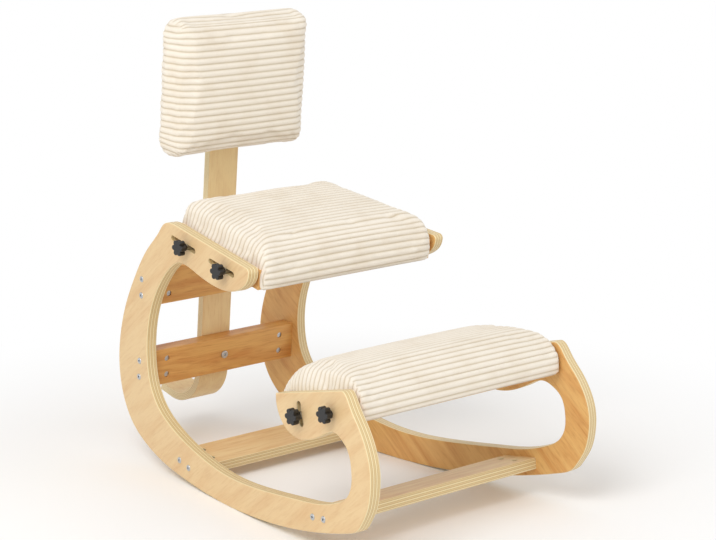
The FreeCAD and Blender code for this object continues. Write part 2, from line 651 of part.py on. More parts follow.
def pad(half_width, length, thickness, crown, front, rear, corner, shoulder):
    """An upholstered pad lofted from side to side, crowned, with rounded ends and faces drawn in between them."""
    profile = pad_profile(length, thickness, front, rear, crown)
    end_share = (corner + shoulder) / 2.0 / half_width(length / 2.0)

    def section(across, share):
        middle = 1 - across * across
        along = 1 - 2 * (corner * share + SIDE_DRAW_IN * middle) / length
        up = 1 + (crown * middle - shoulder * share) / thickness
        return pad_section(profile, length, across, half_width, along, up)

    turns = [math.radians(turn_deg) for turn_deg in (90.0, 60.0, 30.0, 0.0)]
    ends = []
    for side in (-1, 1):
        wires = [section(side * (1 - end_share * (1 - math.cos(turn))), 1 - math.sin(turn)) for turn in turns]
        ends.append(Part.makeLoft(wires, True))
    body = Part.makeLoft([section(across * (1 - end_share), 0.0) for across in (-1, 0, 1)], True)
    return body.fuse(ends)


def backrest_cushion():
    """The backrest's pad in its place, with a pocket for its board."""
    edge = (BACK_EDGE_REACH, BACK_EDGE_DROP, BACK_EDGE_BULGE)
    body = pad(lambda s: BACK_WIDTH / 2.0, BACK_HEIGHT, BACK_THICKNESS, BACK_CROWN, edge, edge,
               BACK_CORNER_RADIUS, BACK_SHOULDER)
    body = body.translated(Vector(0, -BACK_HEIGHT / 2.0, FABRIC_CLEARANCE))
    pocket = back_board_plate(0.0, BOARD_THICKNESS + FABRIC_CLEARANCE)
    return body.cut(pocket).transformed(back_frame())


def back_board_plate(clearance, thickness):
    """The backrest board's outline, drawn in by a clearance, as a plate on the local plane z = 0."""
    width = BACK_WIDTH - 2 * BACK_BOARD_INSET - 2 * clearance
    height = BACK_HEIGHT - 2 * BACK_BOARD_INSET - 2 * clearance
    plate = Part.makeBox(width, height, thickness, Vector(-width / 2.0, -height / 2.0, 0))
    upright = [edge for edge in plate.Edges if edge.BoundBox.ZLength > thickness / 2.0]
    return plate.makeFillet(BACK_CORNER_RADIUS - BACK_BOARD_INSET, upright)


def backrest_board():
    """The plywood board inside the backrest, with holes for its bolts' threaded inserts."""
    board = back_board_plate(FABRIC_CLEARANCE, BOARD_THICKNESS)
    holes = [Part.makeCylinder(INSERT_DIAMETER / 2.0 + THREAD_CLEARANCE, 2 * BEYOND, Vector(x, up, -BEYOND))
             for x, up in back_bolt_places()]
    return board.cut(holes).transformed(back_frame())


def back_fasteners():
    """The bolts through the post into the backrest board, and their threaded inserts."""
    bolts = []
    inserts = []
    seat = -POST_THICKNESS
    face = seat - BOLT_HEAD_DEPTH
    for x, up in back_bolt_places():
        head = Part.makeCylinder(BOLT_HEAD_DIAMETER / 2.0, BOLT_HEAD_DEPTH, Vector(x, up, face))
        head = head.makeFillet(BOLT_HEAD_ROUND, [edge for edge in head.Edges if edge.CenterOfMass.z < face + SMALL])
        shank = Part.makeCylinder(BOLT_DIAMETER / 2.0, BOARD_THICKNESS - seat, Vector(x, up, seat))
        socket = hexagon(BOLT_SOCKET_WIDTH, Vector(x, up, face), Vector(1, 0, 0), Vector(0, 1, 0))
        bolt = head.fuse(shank).removeSplitter().cut(socket.extrude(Vector(0, 0, BOLT_SOCKET_DEPTH)))
        bolts.append(bolt.transformed(back_frame()))
        insert = Part.makeCylinder(INSERT_DIAMETER / 2.0, BOARD_THICKNESS, Vector(x, up, 0))
        bore = Part.makeCylinder(BOLT_DIAMETER / 2.0 + THREAD_CLEARANCE, 2 * BEYOND, Vector(x, up, -BEYOND))
        inserts.append(insert.cut(bore).transformed(back_frame()))
    return Part.makeCompound(bolts), Part.makeCompound(inserts)


SEAT_FRAME = frame_at(SEAT_FRONT_Y, SEAT_FRONT_Z, ARM_SLOPE)
KNEELER_FRAME = frame_at(KNEELER_FRONT_Y, KNEELER_FRONT_Z, -KNEELER_TILT)


def seat_inner_x(s):
    """Half the width between the side frames at a distance s along the seat."""
    return inner_x(SEAT_FRONT_Y + s * math.cos(ARM_SLOPE))


def kneeler_inner_x(s):
    """Half the width between the side frames at a distance s along the kneeler."""
    return inner_x(KNEELER_FRONT_Y + s * math.cos(KNEELER_TILT))


def seat_batten_outer(s):
    """Half the width over the seat battens."""
    return seat_inner_x(s) - SEAT_BATTEN_GAP


def batten_inner(s):
    """Half the width between the seat battens."""
    return seat_batten_outer(s) - SEAT_BATTEN_THICKNESS / math.cos(SPLAY)


def seat_batten_blank(clearance, opening):
    """Both battens in the seat's local frame, grown by a clearance, and open to the side and below by opening."""
    start = (SEAT_LENGTH - SEAT_BATTEN_LENGTH) / 2.0 - clearance
    end = (SEAT_LENGTH + SEAT_BATTEN_LENGTH) / 2.0 + clearance
    high = SEAT_BATTEN_LIFT + SEAT_BATTEN_HEIGHT + clearance
    whole = tapered_plate(lambda s: seat_batten_outer(s) + opening, start, end, SEAT_BATTEN_LIFT - opening, high)
    core = tapered_plate(lambda s: batten_inner(s) - clearance, start - BEYOND, end + BEYOND, -BEYOND, 2 * BEYOND)
    return whole.cut(core)


def seat_cushion():
    """The seat's pad in its place: drawn in beside the battens, open below for the board."""
    body = pad(lambda s: seat_inner_x(s) - SEAT_SIDE_GAP, SEAT_LENGTH, SEAT_THICKNESS, SEAT_CROWN,
               (SEAT_FRONT_REACH, SEAT_FRONT_DROP, SEAT_FRONT_BULGE),
               (SEAT_REAR_REACH, SEAT_REAR_DROP, SEAT_REAR_BULGE), SEAT_CORNER_RADIUS, SEAT_SHOULDER)
    pocket = tapered_plate(lambda s: batten_inner(s) + FABRIC_CLEARANCE, BOARD_EDGE_COVER,
                           SEAT_LENGTH - BOARD_EDGE_COVER, -BEYOND, BOARD_THICKNESS + FABRIC_CLEARANCE)
    return body.cut([pocket, seat_batten_blank(FABRIC_CLEARANCE, BEYOND)]).transformed(SEAT_FRAME)


def seat_board():
    """The plywood board under the seat's foam, its sides against the battens."""
    board = tapered_plate(batten_inner, BOARD_EDGE_COVER + FABRIC_CLEARANCE,
                          SEAT_LENGTH - BOARD_EDGE_COVER - FABRIC_CLEARANCE, 0.0, BOARD_THICKNESS)
    return board.cut(screws(seat_screw_places(), True)).transformed(SEAT_FRAME)


def seat_screw_places():
    """Where the screws through the right-hand seat batten start, in the seat's local frame."""
    return [(seat_batten_outer(SEAT_LENGTH * share) - SCREW_SUNK, SEAT_LENGTH * share) for share in SEAT_SCREW_SHARES]


def kneeler_screw_places():
    """Where the screws through the right-hand bracket start, in the kneeler's local frame."""
    return [(kneeler_inner_x(KNEELER_LENGTH * share) - BRACKET_GAP - SCREW_SUNK, KNEELER_LENGTH * share)
            for share in BRACKET_SCREW_SHARES]


def wood_screw(x, s, h):
    """A countersunk screw along X with its slotted head flush at x."""
    head = Part.makeCone(SCREW_DIAMETER / 2.0, SCREW_HEAD_DIAMETER / 2.0, SCREW_HEAD_DEPTH,
                         Vector(x - SCREW_HEAD_DEPTH, s, h), Vector(1, 0, 0))
    slot = Part.makeBox(SCREW_SLOT, SCREW_HEAD_DIAMETER, SCREW_SLOT,
                        Vector(x - SCREW_SLOT, s - SCREW_HEAD_DIAMETER / 2.0, h - SCREW_SLOT / 2.0))
    return head.fuse(rod_x(s, h, x - SCREW_LENGTH, x, SCREW_DIAMETER)).removeSplitter().cut(slot)


def wood_screw_hole(x, s, h):
    """The space that screw needs, open outwards."""
    head = Part.makeCone(SCREW_DIAMETER / 2.0 + HOLE_CLEARANCE, SCREW_HEAD_DIAMETER / 2.0 + HOLE_CLEARANCE,
                         SCREW_HEAD_DEPTH, Vector(x - SCREW_HEAD_DEPTH, s, h), Vector(1, 0, 0))
    mouth = rod_x(s, h, x, x + BEYOND, SCREW_HEAD_DIAMETER + 2 * HOLE_CLEARANCE)
    shank = rod_x(s, h, x - SCREW_LENGTH - HOLE_CLEARANCE, x, SCREW_DIAMETER + 2 * HOLE_CLEARANCE)
    return head.fuse([mouth, shank])


def screws(places, holes):
    """The screws at the places (x, s) in the edge of a board, or their holes, on both sides."""
    maker = wood_screw_hole if holes else wood_screw
    solids = [maker(x, s, BOARD_THICKNESS / 2.0) for x, s in places]
    return both_sides(Part.makeCompound(solids))


def seat_batten():
    """The right-hand seat batten, with holes for its screws and threaded inserts."""
    pair = seat_batten_blank(0.0, 0.0)
    batten = [solid for solid in pair.Solids if solid.CenterOfMass.x > 0][0].transformed(SEAT_FRAME)
    cutters = [screws(seat_screw_places(), True).transformed(SEAT_FRAME)]
    for y, z in SEAT_STUDS:
        cutters.append(rod_x(y, z, 0, outer_x(y), INSERT_DIAMETER + 2 * THREAD_CLEARANCE))
    return batten.cut(cutters)


def insert(y, z, x_low, x_high):
    """A threaded insert along X."""
    bore = rod_x(y, z, x_low - BEYOND, x_high + BEYOND, STUD_DIAMETER + 2 * THREAD_CLEARANCE)
    return rod_x(y, z, x_low, x_high, INSERT_DIAMETER).cut(bore)


def seat_insert_span(y):
    """Where a seat insert starts and ends in X."""
    outer = inner_x(y) - SEAT_BATTEN_GAP
    return outer - SEAT_BATTEN_THICKNESS + INSERT_SUNK, outer - INSERT_SUNK


def kneeler_cushion():
    """The kneeling pad in its place: a loaf with a long rounded rear, open below for its board."""
    body = pad(lambda s: kneeler_inner_x(s) - KNEELER_SIDE_GAP, KNEELER_LENGTH, KNEELER_THICKNESS, KNEELER_CROWN,
               (KNEELER_FRONT_REACH, KNEELER_FRONT_DROP, KNEELER_FRONT_BULGE),
               (KNEELER_REAR_REACH, KNEELER_REAR_DROP, KNEELER_REAR_BULGE), KNEELER_CORNER_RADIUS, KNEELER_SHOULDER)
    pocket = tapered_plate(kneeler_board_half, BOARD_EDGE_COVER, KNEELER_LENGTH - BOARD_EDGE_COVER, -BEYOND,
                           BOARD_THICKNESS + FABRIC_CLEARANCE)
    body = body.cut(pocket).transformed(KNEELER_FRAME)
    space = bracket_blank(FABRIC_CLEARANCE, BEYOND)
    return body.cut([space, mirrored(space)])


def kneeler_board_half(s):
    """Half the width of the kneeler's board: it ends just short of the brackets' inner faces."""
    return kneeler_inner_x(s) - BRACKET_GAP - BRACKET_THICKNESS / math.cos(SPLAY) - BOARD_SIDE_CLEARANCE


def kneeler_board():
    """The plywood board under the kneeler's foam."""
    board = tapered_plate(kneeler_board_half, BOARD_EDGE_COVER + FABRIC_CLEARANCE,
                          KNEELER_LENGTH - BOARD_EDGE_COVER - FABRIC_CLEARANCE, 0.0, BOARD_THICKNESS)
    return board.cut(screws(kneeler_screw_places(), True)).transformed(KNEELER_FRAME)


def bracket_blank(clearance, opening):
    """The right-hand bracket, a bar with rounded ends along its studs, grown by a clearance and open by opening."""
    (y1, z1), (y2, z2) = KNEELER_STUDS
    length = KNEELER_STUD_RADIUS + 2 * BRACKET_BEYOND_STUD + 2 * clearance
    height = BRACKET_HEIGHT + 2 * clearance
    reach = outer_x(RUNNER_FRONT_Y)
    bar = Part.makeBox(reach, length, height, Vector(0, -BRACKET_BEYOND_STUD - clearance, -height / 2.0))
    ends = [edge for edge in bar.Edges if edge.BoundBox.XLength > reach / 2.0]
    bar = bar.makeFillet(BRACKET_END_ROUND, ends).transformed(frame_at(y1, z1, math.atan2(z2 - z1, y2 - y1)))
    near = inner_span(BRACKET_GAP - opening)
    far = inner_span(BRACKET_GAP + BRACKET_THICKNESS / math.cos(SPLAY) + clearance)
    return bar.common(near.cut(far))


def inner_span(inset):
    """The whole space between the side frames beside the kneeler, drawn in by an inset along X."""
    return tapered_plate(lambda y: inner_x(y) - inset, RUNNER_FRONT_Y - BEYOND, 0.0, 0.0, 2 * PIVOT_Z)


def kneeler_bracket():
    """The right-hand bracket under the kneeling pad's end."""
    cutters = [screws(kneeler_screw_places(), True).transformed(KNEELER_FRAME)]
    for y, z in KNEELER_STUDS:
        cutters.append(rod_x(y, z, 0, outer_x(y), INSERT_DIAMETER + 2 * THREAD_CLEARANCE))
    return bracket_blank(0.0, 0.0).cut(cutters)


def kneeler_insert_span(y):
    """Where a kneeler insert starts and ends in X."""
    outer = inner_x(y) - BRACKET_GAP
    return outer - BRACKET_THICKNESS + INSERT_SUNK, outer - INSERT_SUNK


def star_knob(y, z, base_x):
    """A lobed knob on the right-hand side: a neck from base_x outwards, then the star head."""
    lobe_centre = (KNOB_DIAMETER - KNOB_LOBE_DIAMETER) / 2.0
    head_x = base_x + KNOB_NECK_LENGTH
    core = rod_x(0, 0, 0, KNOB_HEAD_DEPTH, KNOB_CORE_DIAMETER)
    lobes = []
    for index in range(KNOB_LOBES):
        turn = 2 * math.pi * index / KNOB_LOBES
        lobes.append(rod_x(lobe_centre * math.cos(turn), lobe_centre * math.sin(turn), 0, KNOB_HEAD_DEPTH,
                           KNOB_LOBE_DIAMETER))
    head = core.fuse(lobes).removeSplitter()
    rims = [edge for edge in head.Edges if edge.BoundBox.XLength < SMALL]
    head = head.makeFillet(KNOB_EDGE_ROUND, rims).translated(Vector(head_x, y, z))
    neck = rod_x(y, z, base_x, head_x + KNOB_HEAD_DEPTH / 2.0, KNOB_NECK_DIAMETER)
    bore = rod_x(y, z, base_x - BEYOND, base_x + STUD_IN_KNOB, STUD_DIAMETER + 2 * THREAD_CLEARANCE)
    return head.fuse(neck).removeSplitter().cut(bore)


def stud(y, z, base_x, span, guide):
    """The threaded stud moulded into a knob, with a plain shoulder of diameter guide that runs in the frame."""
    rod = rod_x(y, z, span[0], base_x + STUD_IN_KNOB, STUD_DIAMETER)
    rod = rod.makeChamfer(STUD_CHAMFER, [edge for edge in rod.Edges if edge.CenterOfMass.x < span[0] + SMALL])
    return rod.fuse(rod_x(y, z, span[1], base_x, guide)).removeSplitter()


def write_frame():
    """Writes the side frames, the cross members and their fasteners."""
    right = side_frame()
    export(right, "side_frame_right")
    export(mirrored(right), "side_frame_left")
    dowels = []
    bolts = []
    for member in MEMBERS:
        export(cross_member(member), member[0])
        for y, z in member_bolts(member):
            dowels.append(cross_dowel(y, z, member[2], member[4]))
            bolts.append(frame_bolt(y, z))
    export(Part.makeCompound(bolts), "frame_bolts_right")
    export(mirrored(Part.makeCompound(bolts)), "frame_bolts_left")
    export(both_sides(Part.makeCompound(dowels)), "cross_dowels")


def write_backrest():
    """Writes the post and the backrest."""
    export(backrest_post(), "backrest_post")
    export(post_bolts(), "post_bolts")
    export(post_nuts(), "post_nuts")
    export(backrest_board(), "backrest_board")
    export(backrest_cushion(), "backrest_cushion")
    bolts, inserts = back_fasteners()
    export(bolts, "backrest_bolts")
    export(inserts, "backrest_inserts")


def write_seat():
    """Writes the sliding seat."""
    export(seat_cushion(), "seat_cushion")
    export(seat_board(), "seat_board")
    export(seat_batten(), "seat_batten_right")
    export(mirrored(seat_batten()), "seat_batten_left")
    export(screws(seat_screw_places(), False).transformed(SEAT_FRAME), "seat_batten_screws")
    inserts = Part.makeCompound([insert(y, z, *seat_insert_span(y)) for y, z in SEAT_STUDS])
    export(both_sides(inserts), "seat_inserts")


def write_kneeler():
    """Writes the tilting kneeler."""
    export(kneeler_cushion(), "kneeler_cushion")
    export(kneeler_board(), "kneeler_board")
    export(kneeler_bracket(), "kneeler_bracket_right")
    export(mirrored(kneeler_bracket()), "kneeler_bracket_left")
    export(screws(kneeler_screw_places(), False).transformed(KNEELER_FRAME), "kneeler_bracket_screws")
    inserts = Part.makeCompound([insert(y, z, *kneeler_insert_span(y)) for y, z in KNEELER_STUDS])
    export(both_sides(inserts), "kneeler_inserts")


def write_knobs():
    """Writes the eight star knobs and their studs."""
    seat_guide = SLOT_WIDTH - 2 * RUNNING_CLEARANCE
    kneeler_guide = KNEELER_SLOT_WIDTH - 2 * RUNNING_CLEARANCE
    places = [
        ("seat_front", SEAT_STUDS[0], SEAT_KNOB_STANDOFF, seat_insert_span, seat_guide),
        ("seat_rear", SEAT_STUDS[1], SEAT_KNOB_STANDOFF, seat_insert_span, seat_guide),
        ("kneeler_pivot", KNEELER_STUDS[0], KNEELER_KNOB_STANDOFF, kneeler_insert_span, STUD_DIAMETER),
        ("kneeler_slot", KNEELER_STUDS[1], KNEELER_KNOB_STANDOFF, kneeler_insert_span, kneeler_guide),
    ]
    for name, (y, z), standoff, span, guide in places:
        base_x = outer_x(y) + standoff
        knob = star_knob(y, z, base_x)
        screw = stud(y, z, base_x, span(y), guide)
        export(knob, name + "_knob_right")
        export(mirrored(knob), name + "_knob_left")
        export(screw, name + "_stud_right")
        export(mirrored(screw), name + "_stud_left")


os.makedirs("parts", exist_ok=True)
write_frame()
write_backrest()
write_seat()
write_kneeler()
write_knobs()
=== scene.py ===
"""Looks for a rocking kneeling chair: ribbed pads, plywood frames, wood rails, knobs and fasteners."""

import math

import bpy
import numpy as np
from bpy.props import FloatProperty, FloatVectorProperty, PointerProperty
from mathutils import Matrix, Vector


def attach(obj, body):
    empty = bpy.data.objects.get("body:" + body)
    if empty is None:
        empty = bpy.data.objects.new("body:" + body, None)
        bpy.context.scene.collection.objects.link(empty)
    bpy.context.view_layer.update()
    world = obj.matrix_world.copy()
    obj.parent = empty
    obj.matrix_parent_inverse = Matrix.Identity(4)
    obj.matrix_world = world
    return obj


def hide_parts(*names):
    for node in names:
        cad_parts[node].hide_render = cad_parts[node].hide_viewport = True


bl_info = {
    "name": "Rocking kneeling chair",
    "version": (1, 0, 0),
    "blender": (4, 5, 0),
    "location": "View3D > Sidebar > Chair",
    "description": "Dresses the packed kneeling chair with pads, wood, knobs and fasteners",
    "category": "Object",
}

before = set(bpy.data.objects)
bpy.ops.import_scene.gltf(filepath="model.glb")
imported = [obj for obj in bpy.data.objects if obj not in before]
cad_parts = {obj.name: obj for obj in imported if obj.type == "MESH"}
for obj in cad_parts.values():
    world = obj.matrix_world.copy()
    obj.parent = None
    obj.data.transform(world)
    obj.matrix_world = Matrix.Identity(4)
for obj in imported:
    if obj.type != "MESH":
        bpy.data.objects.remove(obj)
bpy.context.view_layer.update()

# Where the plywood lies, in metres and degrees, for the layers that show on its edges.
SPLAY = math.radians(5.73)
FRAME_SHEET_START = 0.18497
REAR_SLAT_TILT_DEG, REAR_SLAT_START = 11.5, -0.0026
FRONT_SLAT_TILT_DEG, FRONT_SLAT_START = -8.5, 0.0056
POST_LEAN_DEG = 5.5
POST_FRONT = 0.32024
POST_PLY = 0.0028
HOOK_CENTRE = (0.0, 0.3832, 0.144)
HOOK_OUTER_RADIUS = 0.075
HOOK_TOP = 0.1368

# Wood figure: for the bands, streaks and fibres, the noise where each starts and is full, its amount and hue.
FIGURE = ((0.42, 0.72, 0.55, "#D8A262"), (0.50, 0.78, 0.42, "#C48E50"), (0.52, 0.80, 0.30, "#B9905C"))
NORMAL_ON_FACE, NORMAL_ON_EDGE = 0.82, 0.62
SECOND_LAYER_TINT, SECOND_LAYER_HUE = 0.45, "#D9B887"

# The pads' forms and meshes, in metres.
EDGE_ROUND = 0.006
EDGE_BULGE = 0.0012
SIDE_BULGE = 0.0025
UNDERSIDE_SAG = -0.0008
RUN_POINTS = 24
END_ROWS, MIDDLE_ROWS = 9, 25
MIDDLE_DRAW = 0.002
COVER_REACH = 0.02
CORNER_REACH = 0.05
HELD_BELOW = 0.002
CLOTH_FRAMES = 20
POINTS_AT_ONCE = 8192

# The ribs: how round their crests are, how narrow the painted groove shade is, and where the ends and
# underside begin.
CREST_POWER = 0.7
GROOVE_SHADE_POWER = 3.6
MEAN_RIB = 0.8
END_FROM, END_SPAN = 0.45, 0.4
UNDER_FROM, UNDER_SPAN = 0.55, 0.3

# The stage, in metres, watts and degrees. The floor turns white between the two distances from the chair.
FLOOR_HALF = 30
FLOOR_PALE_TO, FLOOR_WHITE_FROM = 0.45, 1.15
WORLD_STRENGTH = 0.68
LAMPS = (("key", (-2.6, -1.2, 3.0), 76.0, 2.2), ("fill", (2.4, -2.6, 1.8), 20.0, 2.5))
LAMP_TARGET = (0.0, 0.0, 0.4)
CAMERA_PLACE = (-2.3302, -2.8274, 1.2094)
CAMERA_DOWN_DEG, CAMERA_TURN_DEG = 12.804, 40.495
CAMERA_LENS_MM = 110.6
WHITE = (1.0, 1.0, 1.0, 1.0)


def linear(colour):
    """An sRGB hex colour as linear RGBA."""
    parts = [int(colour[k:k + 2], 16) / 255 for k in (1, 3, 5)]
    return tuple(c / 12.92 if c <= 0.04045 else ((c + 0.055) / 1.055) ** 2.4 for c in parts) + (1.0,)


def length(name, about, value):
    """A length property in metres."""
    return FloatProperty(name=name, description=about, default=value, min=0.0, unit="LENGTH", precision=4)


def shade(name, about, colour):
    """A colour property with an sRGB hex default."""
    return FloatVectorProperty(name=name, description=about, default=linear(colour)[:3], size=3,
                               min=0.0, max=1.0, subtype="COLOR")


class ChairSizes(bpy.types.PropertyGroup):
    """Sizes that a user may change."""

    rib_pitch: length("Rib pitch", "Distance between neighbouring ribs of the corduroy", 0.0114)
    rib_height: length("Rib height", "Height of a rib above its groove", 0.0023)
    voxel: length("Pad mesh size", "Edge length of the mesh a pad is inflated with", 0.006)
    swell: length("Swell", "How far the foam may push its cover out or in", 0.005)
    ply: length("Ply thickness", "Thickness of one layer in the plywood, drawn coarse enough to show", 0.0030)


class ChairColours(bpy.types.PropertyGroup):
    """Colours that a user may change."""

    corduroy: shade("Corduroy", "Cream pile on top of the ribs", "#F0E8DB")
    # Painted shade: this darker colour stands in for the shadow in the grooves between the ribs.
    corduroy_groove_shade: shade("Groove", "The corduroy's ground between its ribs", "#CBBCA2")
    lining: shade("Lining", "Plain cloth under the pads", "#CFC6B6")
    ply_outer: shade("Outer veneer", "Lacquered face veneer on the outside of the frames", "#E3C595")
    ply_inner: shade("Inner veneer", "Lacquered face veneer on the inside of the frames", "#E2B470")
    ply_edge: shade("Ply edge", "Sanded edge of the plywood", "#EAD9AC")
    ply_glue: shade("Glue line", "Dark lines between the layers", "#B08A52")
    solid: shade("Solid wood", "Orange-brown wood of the rear rails", "#DFAB62")
    slat: shade("Slat", "Pale faces of the two bottom slats", "#E9CC9A")
    strip: shade("Bent strip", "Pale face of the bent backrest post", "#EFD5A1")
    knob: shade("Knob", "Black moulded knobs", "#141415")
    zinc: shade("Zinc", "Plated steel fasteners", "#C3C6C9")


def add(tree, kind, inputs=None, **settings):
    """Adds a node, sets it, and fills its inputs with values or links. Returns the node."""
    node = tree.nodes.new(kind)
    for key, value in settings.items():
        setattr(node, key, value)
    for key, value in (inputs or {}).items():
        if isinstance(value, bpy.types.NodeSocket):
            tree.links.new(value, node.inputs[key])
        else:
            node.inputs[key].default_value = value
    return node


def material(name):
    """An empty node material, its tree and its main shader."""
    made = bpy.data.materials.new(name)
    made.use_nodes = True
    tree = made.node_tree
    tree.nodes.clear()
    shader = add(tree, "ShaderNodeBsdfPrincipled")
    add(tree, "ShaderNodeOutputMaterial", {"Surface": shader.outputs[0]})
    return made, tree, shader


def rgba(colour):
    """A colour property as RGBA."""
    return (*colour, 1.0)


def coordinate(tree, kind):
    """The object coordinates or the normal."""
    return add(tree, "ShaderNodeTexCoord").outputs[kind]


def computed(tree, operation, first, second=0.0):
    """The result of one maths node."""
    return add(tree, "ShaderNodeMath", {0: first, 1: second}, operation=operation).outputs[0]


def dotted(tree, vector, across):
    """A vector's part along a direction."""
    return add(tree, "ShaderNodeVectorMath", {0: vector, 1: across}, operation="DOT_PRODUCT").outputs["Value"]


def mixed(tree, factor, first, second):
    """The first colour turned into the second by a factor."""
    return add(tree, "ShaderNodeMixRGB", {0: factor, 1: first, 2: second}).outputs[0]


def chosen(tree, factor, first, second):
    """The first number turned into the second by a factor."""
    return add(tree, "ShaderNodeMix", {0: factor, 2: first, 3: second}, data_type="FLOAT").outputs[0]


def noise(tree, where, scale, detail):
    """A noise from 0 to 1."""
    return add(tree, "ShaderNodeTexNoise", {"Vector": where, "Scale": scale, "Detail": detail}).outputs[0]


def turned(tree, where, turn, stretch, seed=0.0):
    """Coordinates turned about X, stretched, and moved to a place that the seed picks."""
    return add(tree, "ShaderNodeMapping", {"Vector": where, "Location": (seed, seed * 0.7, seed * 1.3),
                                           "Rotation": (turn, 0.0, 0.0), "Scale": stretch},
               vector_type="TEXTURE").outputs[0]


def bumped(tree, height, strength, distance):
    """A normal bent by a height."""
    return add(tree, "ShaderNodeBump",
               {"Height": height, "Strength": strength, "Distance": distance}).outputs[0]


def contrasted(tree, value, low, high):
    """A value stretched so that low becomes 0 and high becomes 1."""
    return add(tree, "ShaderNodeMapRange", {"Value": value, "From Min": low, "From Max": high}).outputs[0]


def between(tree, value, low, high):
    """A value from 0 to 1 turned into one from low to high."""
    return add(tree, "ShaderNodeMapRange", {"Value": value, "To Min": low, "To Max": high}).outputs[0]


def tinted(tree, colour, factor, amount, hue):
    """The colour multiplied towards a darker hue by factor times amount."""
    weight = computed(tree, "MULTIPLY", factor, amount)
    return add(tree, "ShaderNodeMixRGB", {0: weight, 1: colour, 2: linear(hue)},
               blend_type="MULTIPLY").outputs[0]


def grain(tree, along, seed, wide, strength, turn):
    """Wood figure on object coordinates, with the grain along one axis.

    The coordinates are turned about X. Three layers are each a noise stretched along the grain: slow bands
    and streaks a few millimetres wide, both bent by another noise, and fibres about a millimetre wide.
    Returns the bands, the streaks and the fibres, each from 0 to 1.
    """
    where = coordinate(tree, "Object")
    stretch = [wide if axis == along else 1.0 for axis in "XYZ"]
    placed = turned(tree, where, turn, stretch, seed)
    bend = add(tree, "ShaderNodeTexNoise", {"Vector": placed, "Scale": 9.0, "Detail": 2.0}).outputs["Color"]
    bent = mixed(tree, strength, placed, bend)
    thin = turned(tree, where, turn, [4.0 * part if part > 1 else 1.0 for part in stretch])
    return noise(tree, bent, 60.0, 2.5), noise(tree, bent, 260.0, 3.0), noise(tree, thin, 900.0, 2.0)


def figured(tree, colour, along, seed, wide=11.0, strength=0.05, depth=1.0, turn=0.0):
    """A wood face colour with its figure, and the fibres for bump."""
    layers = grain(tree, along, seed, wide, strength, turn)
    for layer, (low, high, amount, hue) in zip(layers, FIGURE):
        colour = tinted(tree, colour, contrasted(tree, layer, low, high), amount * depth, hue)
    return colour, layers[-1]


def lacquer(tree, shader, colour, fibres):
    """A thin satin lacquer over sanded wood: soft highlights, with the fibres just felt through it."""
    for key, value in (("Base Color", colour), ("Roughness", between(tree, fibres, 0.36, 0.50)),
                       ("Normal", bumped(tree, fibres, 0.12, 0.0005))):
        tree.links.new(value, shader.inputs[key])
    shader.inputs["IOR"].default_value = 1.5


def through(tree, across, start):
    """Distance through a sheet: the position along a direction, less where the sheet starts."""
    return computed(tree, "SUBTRACT", dotted(tree, coordinate(tree, "Object"), across), start)


def glue_lines(tree, height, ply, share, amount):
    """How much glue shows: the amount over the first share of every layer, and nothing elsewhere."""
    part = computed(tree, "FRACT", computed(tree, "DIVIDE", height, ply))
    return computed(tree, "MULTIPLY", computed(tree, "LESS_THAN", part, share), amount)


def layered(tree, across, height, face, colours, ply):
    """Shows plywood layers where a surface stands square to the sheet.

    The height is the distance through the sheet. Every second layer is darker, and about the first quarter of
    each is its glue line. The face turns into the edge as the normal's part across the sheet falls from
    NORMAL_ON_FACE to NORMAL_ON_EDGE.
    """
    flat = computed(tree, "ABSOLUTE", dotted(tree, coordinate(tree, "Normal"), across))
    is_edge = contrasted(tree, flat, NORMAL_ON_FACE, NORMAL_ON_EDGE)
    half = computed(tree, "MULTIPLY", computed(tree, "DIVIDE", height, ply), 0.5)
    second = computed(tree, "GREATER_THAN", computed(tree, "FRACT", half), 0.5)
    layer = tinted(tree, rgba(colours.ply_edge), second, SECOND_LAYER_TINT, SECOND_LAYER_HUE)
    layer = mixed(tree, glue_lines(tree, height, ply, 0.24, 0.75), layer, rgba(colours.ply_glue))
    return mixed(tree, is_edge, face, layer)


def frame_plywood(name, side, colours, sizes):
    """Birch-faced plywood, routed and lacquered: pale outside, warmer inside, layered on every edge."""
    made, tree, shader = material(name)
    across = (side * math.cos(SPLAY), math.sin(SPLAY), 0.0)
    outer, fibres = figured(tree, rgba(colours.ply_outer), "Z", 0.31 * side, depth=0.42, turn=0.95)
    inner = figured(tree, rgba(colours.ply_inner), "Z", 0.77 * side, depth=0.85, turn=-0.85)[0]
    inside = computed(tree, "LESS_THAN", dotted(tree, coordinate(tree, "Normal"), across), 0.0)
    height = through(tree, across, FRAME_SHEET_START)
    faces = mixed(tree, inside, outer, inner)
    lacquer(tree, shader, layered(tree, across, height, faces, colours, sizes.ply), fibres)
    return made


def slat_plywood(name, tilt, seed, start, colours, sizes):
    """The bottom slats' plywood: a pale face with its grain along the slat, and layered long edges."""
    made, tree, shader = material(name)
    across = (0.0, -math.sin(math.radians(tilt)), math.cos(math.radians(tilt)))
    face, fibres = figured(tree, rgba(colours.slat), "X", seed, wide=12.0, depth=0.7)
    height = through(tree, across, start)
    lacquer(tree, shader, layered(tree, across, height, face, colours, sizes.ply), fibres)
    return made


def solid_wood(name, seed, colour, depth, along):
    """Solid wood with a satin finish: warm bands with the grain along the piece."""
    made, tree, shader = material(name)
    face, fibres = figured(tree, rgba(colour), along, seed, wide=8.0, strength=0.08, depth=depth)
    lacquer(tree, shader, face, fibres)
    return made


